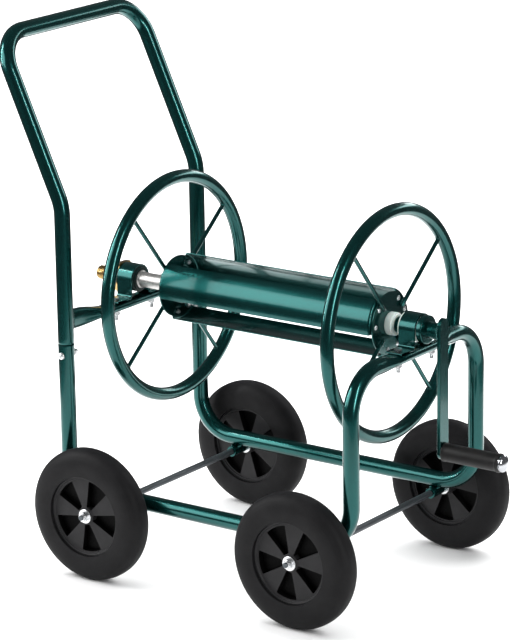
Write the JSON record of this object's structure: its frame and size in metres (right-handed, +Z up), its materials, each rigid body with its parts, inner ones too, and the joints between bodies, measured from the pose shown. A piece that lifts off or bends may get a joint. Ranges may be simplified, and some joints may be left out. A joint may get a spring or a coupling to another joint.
{
  "type": "garden hose reel cart",
  "caption": "Four-wheeled hose reel cart: a bent-tube frame with a push handle carries a drum between two spoked rings, turned by a hand crank, fed through a swivel.",
  "frame": {"origin": "on the floor, under the middle of the cart's bounding box", "axes": "+X along the reel's axis from the handle to the crank, which is also the rolling direction; +Z up; +Y to the left of someone pushing"},
  "size_m": [0.977, 0.5706, 1],
  "materials": {
    "paint": "glossy metallic teal-green paint, fine pearl flake",
    "zinc": "bright zinc-plated hardware",
    "axle_steel": "dark drawn steel rod",
    "swivel_alloy": "satin cast alloy",
    "brass": "machined brass, lightly dulled",
    "nylon": "natural white nylon",
    "black_plastic": "dark bearing plastic",
    "seal_rubber": "black sealing ring",
    "grip_plastic": "smooth black moulded grip",
    "chrome": "polished push-on cap",
    "tyre": "black moulded tyre with a worn-in grey bloom",
    "rim_plastic": "black moulded wheel centre"
  },
  "bodies": {
    "frame": {"frame_tube_right": "paint", "frame_tube_left": "paint", "front_crossbar": "paint", "rear_crossbar": "paint", "axle_sleeves": "paint", "handle": "paint", "handle_bolts": "zinc", "handle_nuts": "zinc", "front_bearing_strap": "paint", "rear_bearing_strap": "paint", "strap_bolts": "zinc", "strap_nuts": "zinc", "front_bush": "nylon", "rear_bush": "black_plastic", "front_axle": "axle_steel", "rear_axle": "axle_steel", "axle_washers": "zinc", "axle_nuts": "zinc"},
    "reel": {"front_ring": "paint", "rear_ring": "paint", "front_spokes": "paint", "rear_spokes": "paint", "front_disc": "paint", "rear_disc": "paint", "drum_panel_1": "paint", "drum_panel_2": "paint", "drum_panel_3": "paint", "panel_screws": "zinc", "panel_nuts": "zinc", "crank_shaft": "paint", "shaft_collar": "paint", "reel_spacer": "nylon", "swivel_pipe": "swivel_alloy", "swivel_seal": "seal_rubber", "crank_arm": "paint", "grip_spindle": "zinc", "grip_cap": "chrome"},
    "grip": {"crank_grip": "grip_plastic"},
    "inlet": {"water_inlet": "brass"},
    "wheel_rear_right": {"tyre_rear_right": "tyre", "rim_rear_right": "rim_plastic"},
    "wheel_rear_left": {"tyre_rear_left": "tyre", "rim_rear_left": "rim_plastic"},
    "wheel_front_right": {"tyre_front_right": "tyre", "rim_front_right": "rim_plastic"},
    "wheel_front_left": {"tyre_front_left": "tyre", "rim_front_left": "rim_plastic"}
  },
  "joints": [
    {"name": "reel_spin", "type": "hinge", "parent": "frame", "child": "reel", "pos_m": [0, 0, 0.504], "axis": [1, 0, 0], "continuous": true},
    {"name": "grip_spin", "type": "hinge", "parent": "reel", "child": "grip", "pos_m": [0.41, 0, 0.283], "axis": [1, 0, 0], "continuous": true},
    {"name": "inlet_swivel", "type": "hinge", "parent": "frame", "child": "inlet", "pos_m": [-0.38, 0, 0.504], "axis": [1, 0, 0], "continuous": true},
    {"name": "wheel_rear_right_spin", "type": "hinge", "parent": "frame", "child": "wheel_rear_right", "pos_m": [-0.2485, -0.2535, 0.125], "axis": [0, 1, 0], "continuous": true},
    {"name": "wheel_rear_left_spin", "type": "hinge", "parent": "frame", "child": "wheel_rear_left", "pos_m": [-0.2485, 0.2535, 0.125], "axis": [0, 1, 0], "continuous": true},
    {"name": "wheel_front_right_spin", "type": "hinge", "parent": "frame", "child": "wheel_front_right", "pos_m": [0.2095, -0.2535, 0.125], "axis": [0, 1, 0], "continuous": true},
    {"name": "wheel_front_left_spin", "type": "hinge", "parent": "frame", "child": "wheel_front_left", "pos_m": [0.2095, 0.2535, 0.125], "axis": [0, 1, 0], "continuous": true}
  ]
}
